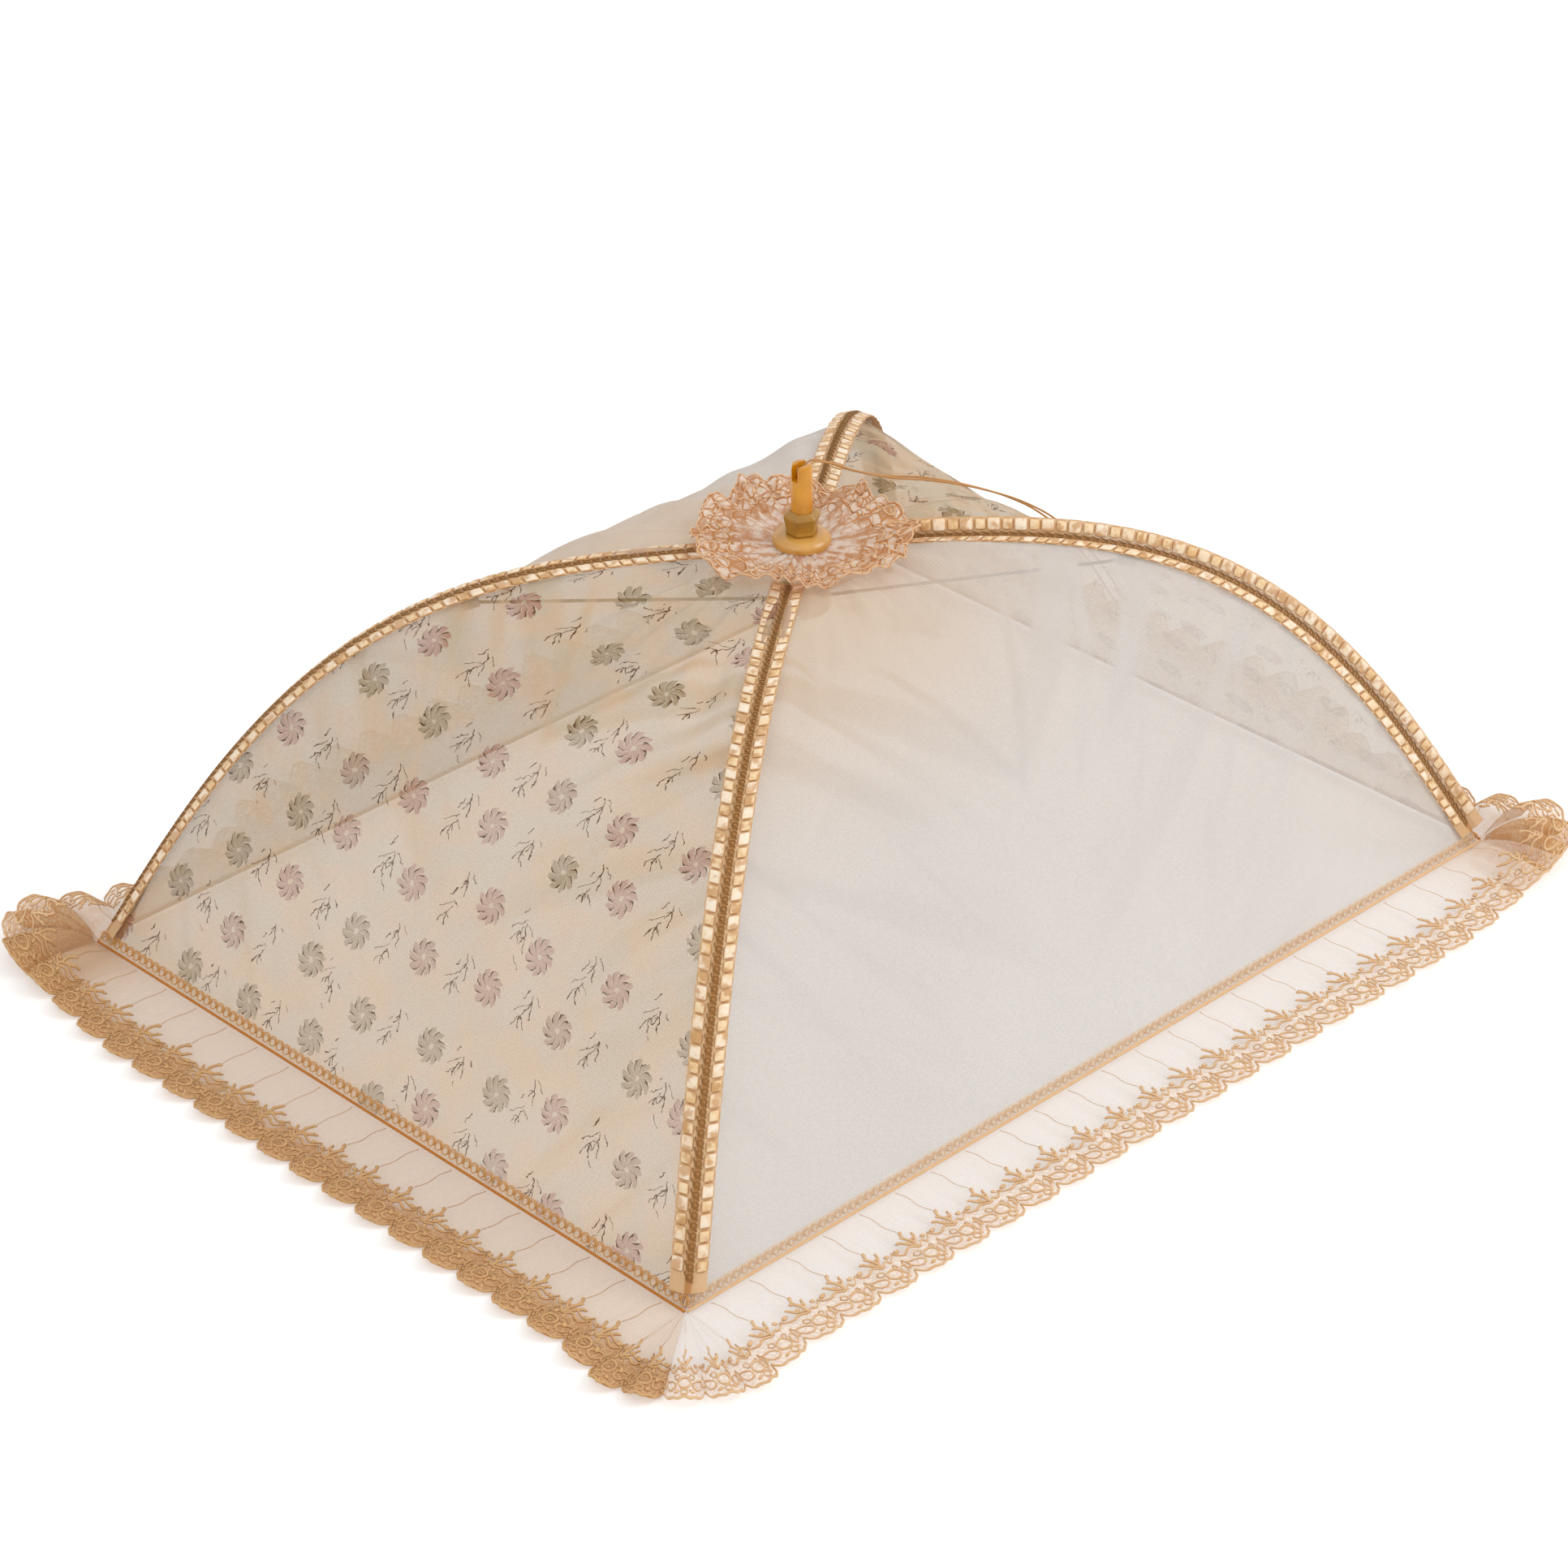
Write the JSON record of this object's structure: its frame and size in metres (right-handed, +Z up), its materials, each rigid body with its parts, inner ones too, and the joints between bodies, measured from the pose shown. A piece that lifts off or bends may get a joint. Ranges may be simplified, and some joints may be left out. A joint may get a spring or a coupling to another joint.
{
  "type": "folding food cover",
  "caption": "Rectangular folding food cover: sheer mesh panels on sprung wire ribs, with lace tapes, a lace flounce, a rosette and a pull cord at the crown.",
  "frame": {"origin": "on the table under the centre of the crown, at the height of the feet", "axes": "+X along the long side, towards the printed panel that the cord lies on, +Y along the short side, +Z up through the crown's tube"},
  "size_m": [0.9878, 0.788, 0.3466],
  "materials": {
    "amber_plastic": "glossy",
    "collar_plastic": "satin",
    "tan_plastic": "glossy",
    "hub_plastic": "satin",
    "rib_wire": "satin",
    "steel": "plain",
    "plain_cloth": "sheer mesh",
    "printed_cloth": "sheer mesh with a printed pattern",
    "lace": "matt",
    "hem_cord": "matt",
    "cord": "matt"
  },
  "bodies": {
    "crown": {"crown_hub": "hub_plastic", "guide_tube": "amber_plastic", "domed_washer": "tan_plastic", "hexagon_collar": "collar_plastic", "rosette": "lace", "hinge_pin_front": "steel", "hinge_pin_right": "steel", "hinge_pin_rear": "steel", "hinge_pin_left": "steel", "pull_cord": "cord", "lift_cord": "cord"},
    "runner": {"runner": "hub_plastic"},
    "rib_front": {"rib_wire_front": "rib_wire", "rib_clip_front": "steel", "stretcher_pin_front": "steel", "rib_foot_front": "tan_plastic", "rib_tape_front": "lace"},
    "stretcher_front": {"stretcher_front": "rib_wire"},
    "cloth_plain_front": {"panel_plain_front": "plain_cloth", "hem_plain_front": "hem_cord", "flounce_plain_front": "lace"},
    "cloth_printed_front": {"panel_printed_front": "printed_cloth", "hem_printed_front": "hem_cord", "flounce_printed_front": "lace"},
    "rib_right": {"rib_wire_right": "rib_wire", "rib_clip_right": "steel", "stretcher_pin_right": "steel", "rib_foot_right": "tan_plastic", "rib_tape_right": "lace"},
    "stretcher_right": {"stretcher_right": "rib_wire"},
    "cloth_plain_right": {"panel_plain_right": "plain_cloth", "hem_plain_right": "hem_cord", "flounce_plain_right": "lace"},
    "cloth_printed_right": {"panel_printed_right": "printed_cloth", "hem_printed_right": "hem_cord", "flounce_printed_right": "lace"},
    "rib_rear": {"rib_wire_rear": "rib_wire", "rib_clip_rear": "steel", "stretcher_pin_rear": "steel", "rib_foot_rear": "tan_plastic", "rib_tape_rear": "lace"},
    "stretcher_rear": {"stretcher_rear": "rib_wire"},
    "cloth_plain_rear": {"panel_plain_rear": "plain_cloth", "hem_plain_rear": "hem_cord", "flounce_plain_rear": "lace"},
    "cloth_printed_rear": {"panel_printed_rear": "printed_cloth", "hem_printed_rear": "hem_cord", "flounce_printed_rear": "lace"},
    "rib_left": {"rib_wire_left": "rib_wire", "rib_clip_left": "steel", "stretcher_pin_left": "steel", "rib_foot_left": "tan_plastic", "rib_tape_left": "lace"},
    "stretcher_left": {"stretcher_left": "rib_wire"},
    "cloth_plain_left": {"panel_plain_left": "plain_cloth", "hem_plain_left": "hem_cord", "flounce_plain_left": "lace"},
    "cloth_printed_left": {"panel_printed_left": "printed_cloth", "hem_printed_left": "hem_cord", "flounce_printed_left": "lace"}
  },
  "joints": [
    {"name": "fold", "type": "hinge", "parent": "crown", "child": "rib_front", "pos_m": [-0.0108, -0.0081, 0.275], "axis": [0.6, -0.8, 0], "range_deg": [0, 57]},
    {"name": "stretcher_swing_front", "type": "hinge", "parent": "rib_front", "child": "stretcher_front", "pos_m": [-0.18356, -0.13767, 0.25626], "axis": [0.6, -0.8, 0], "range_deg": [-115.9, 0]},
    {"name": "cloth_swing_plain_front", "type": "hinge", "parent": "rib_front", "child": "cloth_plain_front", "pos_m": [-0.0108, -0.0081, 0.275], "axis": [-0.2278, 0.9506, -0.2107], "range_deg": [0, 46.3], "deforming": ["panel_plain_front", "hem_plain_front", "flounce_plain_front"]},
    {"name": "cloth_swing_printed_front", "type": "hinge", "parent": "rib_front", "child": "cloth_printed_front", "pos_m": [-0.0108, -0.0081, 0.275], "axis": [-0.9006, 0.3291, 0.284], "range_deg": [0, 35.4], "deforming": ["panel_printed_front", "hem_printed_front", "flounce_printed_front"]},
    {"name": "fold_right", "type": "hinge", "parent": "crown", "child": "rib_right", "pos_m": [0.0108, -0.0081, 0.275], "axis": [0.6, 0.8, 0], "range_deg": [0, 57.1]},
    {"name": "stretcher_swing_right", "type": "hinge", "parent": "rib_right", "child": "stretcher_right", "pos_m": [0.18356, -0.13767, 0.25626], "axis": [0.6, 0.8, 0], "range_deg": [-115.9, 0]},
    {"name": "cloth_swing_plain_right", "type": "hinge", "parent": "rib_right", "child": "cloth_plain_right", "pos_m": [0.0108, -0.0081, 0.275], "axis": [-0.2278, -0.9506, 0.2107], "range_deg": [0, 46.3], "deforming": ["panel_plain_right", "hem_plain_right", "flounce_plain_right"]},
    {"name": "cloth_swing_printed_right", "type": "hinge", "parent": "rib_right", "child": "cloth_printed_right", "pos_m": [0.0108, -0.0081, 0.275], "axis": [-0.9006, -0.3291, -0.284], "range_deg": [0, 35.4], "deforming": ["panel_printed_right", "hem_printed_right", "flounce_printed_right"]},
    {"name": "fold_rear", "type": "hinge", "parent": "crown", "child": "rib_rear", "pos_m": [0.0108, 0.0081, 0.275], "axis": [-0.6, 0.8, 0], "range_deg": [0, 57.1]},
    {"name": "stretcher_swing_rear", "type": "hinge", "parent": "rib_rear", "child": "stretcher_rear", "pos_m": [0.18356, 0.13767, 0.25626], "axis": [-0.6, 0.8, 0], "range_deg": [-115.9, 0]},
    {"name": "cloth_swing_plain_rear", "type": "hinge", "parent": "rib_rear", "child": "cloth_plain_rear", "pos_m": [0.0108, 0.0081, 0.275], "axis": [0.2278, -0.9506, -0.2107], "range_deg": [0, 46.3], "deforming": ["panel_plain_rear", "hem_plain_rear", "flounce_plain_rear"]},
    {"name": "cloth_swing_printed_rear", "type": "hinge", "parent": "rib_rear", "child": "cloth_printed_rear", "pos_m": [0.0108, 0.0081, 0.275], "axis": [0.9006, -0.3291, 0.284], "range_deg": [0, 35.4], "deforming": ["panel_printed_rear", "hem_printed_rear", "flounce_printed_rear"]},
    {"name": "fold_left", "type": "hinge", "parent": "crown", "child": "rib_left", "pos_m": [-0.0108, 0.0081, 0.275], "axis": [-0.6, -0.8, 0], "range_deg": [0, 57.1]},
    {"name": "stretcher_swing_left", "type": "hinge", "parent": "rib_left", "child": "stretcher_left", "pos_m": [-0.18356, 0.13767, 0.25626], "axis": [-0.6, -0.8, 0], "range_deg": [-115.9, 0]},
    {"name": "cloth_swing_plain_left", "type": "hinge", "parent": "rib_left", "child": "cloth_plain_left", "pos_m": [-0.0108, 0.0081, 0.275], "axis": [0.2278, 0.9506, 0.2107], "range_deg": [0, 46.3], "deforming": ["panel_plain_left", "hem_plain_left", "flounce_plain_left"]},
    {"name": "cloth_swing_printed_left", "type": "hinge", "parent": "rib_left", "child": "cloth_printed_left", "pos_m": [-0.0108, 0.0081, 0.275], "axis": [0.9006, 0.3291, -0.284], "range_deg": [0, 35.4], "deforming": ["panel_printed_left", "hem_printed_left", "flounce_printed_left"]},
    {"name": "runner_slide", "type": "slide", "parent": "crown", "child": "runner", "axis": [0, 0, -1], "range_m": [0, 0.35], "deforming": ["lift_cord"]}
  ],
  "couplings": [
    {"joint": "stretcher_swing_front", "follows": "fold", "ratio": -2.0305},
    {"joint": "cloth_swing_plain_front", "follows": "fold", "ratio": 0.80986},
    {"joint": "cloth_swing_printed_front", "follows": "fold", "ratio": 0.61927},
    {"joint": "fold_right", "follows": "fold", "ratio": 1},
    {"joint": "stretcher_swing_right", "follows": "fold", "ratio": -2.0305},
    {"joint": "cloth_swing_plain_right", "follows": "fold", "ratio": 0.80986},
    {"joint": "cloth_swing_printed_right", "follows": "fold", "ratio": 0.61927},
    {"joint": "fold_rear", "follows": "fold", "ratio": 1},
    {"joint": "stretcher_swing_rear", "follows": "fold", "ratio": -2.0305},
    {"joint": "cloth_swing_plain_rear", "follows": "fold", "ratio": 0.80986},
    {"joint": "cloth_swing_printed_rear", "follows": "fold", "ratio": 0.61927},
    {"joint": "fold_left", "follows": "fold", "ratio": 1},
    {"joint": "stretcher_swing_left", "follows": "fold", "ratio": -2.0305},
    {"joint": "cloth_swing_plain_left", "follows": "fold", "ratio": 0.80986},
    {"joint": "cloth_swing_printed_left", "follows": "fold", "ratio": 0.61927},
    {"joint": "runner_slide", "follows": "fold", "m_per_rad": 0.35156}
  ]
}
